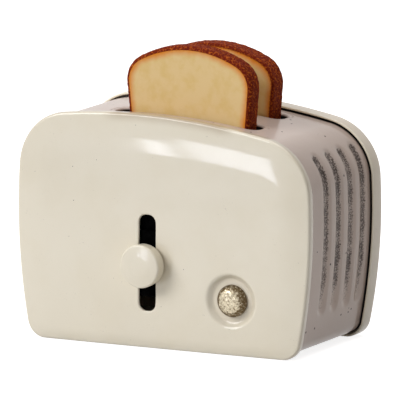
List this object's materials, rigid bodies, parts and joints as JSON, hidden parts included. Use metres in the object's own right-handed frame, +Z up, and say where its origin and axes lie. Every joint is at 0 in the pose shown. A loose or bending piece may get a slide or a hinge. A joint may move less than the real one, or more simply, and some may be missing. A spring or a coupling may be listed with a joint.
{
  "type": "toy toaster",
  "caption": "Miniature pressed-tin toy toaster with a sliding front lever that raises two lift-out toy bread slices.",
  "frame": {"origin": "on the surface it stands on, under the centre of the whole part's box", "axes": "+X to the right seen from the lever side, +Y to the back, +Z up"},
  "size_m": [0.06, 0.0334, 0.0543],
  "materials": {
    "enamel_cream": "glossy cream enamel on pressed tinplate",
    "enamel_body": "glossy greyish cream enamel, rubbed dark in the grooves",
    "enamel_knob": "satin cream enamel",
    "bare_metal": "worn bare metal, pitted on the dome",
    "plated_steel": "plain plated steel",
    "spring_steel": "blued spring steel",
    "black_steel": "matt black paint",
    "painted_wood": "lacquered toy bread: tan crumb, orange to dark red-brown crust"
  },
  "bodies": {
    "shell": {"front_panel": "enamel_cream", "rear_panel": "enamel_cream", "body_band": "enamel_body", "dial_rivet": "bare_metal", "dial_washer": "plated_steel", "guide_rail_left": "black_steel", "guide_rail_right": "black_steel", "tie_post_lower_left": "plated_steel", "tie_post_lower_right": "plated_steel", "tie_post_upper_left": "plated_steel", "tie_post_upper_right": "plated_steel", "rear_screws": "plated_steel", "base_plate": "enamel_body", "base_screws": "plated_steel"},
    "lever": {"lever_knob": "enamel_knob", "lever_stem": "plated_steel", "slide_plate": "black_steel", "lift_carriage": "black_steel", "friction_spring": "spring_steel", "stem_washer": "plated_steel", "stem_nut": "plated_steel"},
    "bread_front": {"bread_slice_front": "painted_wood"},
    "bread_rear": {"bread_slice_rear": "painted_wood"}
  },
  "joints": [
    {"name": "lever_slide", "type": "slide", "parent": "shell", "child": "lever", "axis": [0, 0, 1], "range_m": [-0.0069, 0.0071]},
    {"name": "bread_front_lift", "type": "slide", "parent": "lever", "child": "bread_front", "axis": [0, 0, 1], "range_m": [0, 0.03]},
    {"name": "bread_rear_lift", "type": "slide", "parent": "lever", "child": "bread_rear", "axis": [0, 0, 1], "range_m": [0, 0.03]}
  ]
}
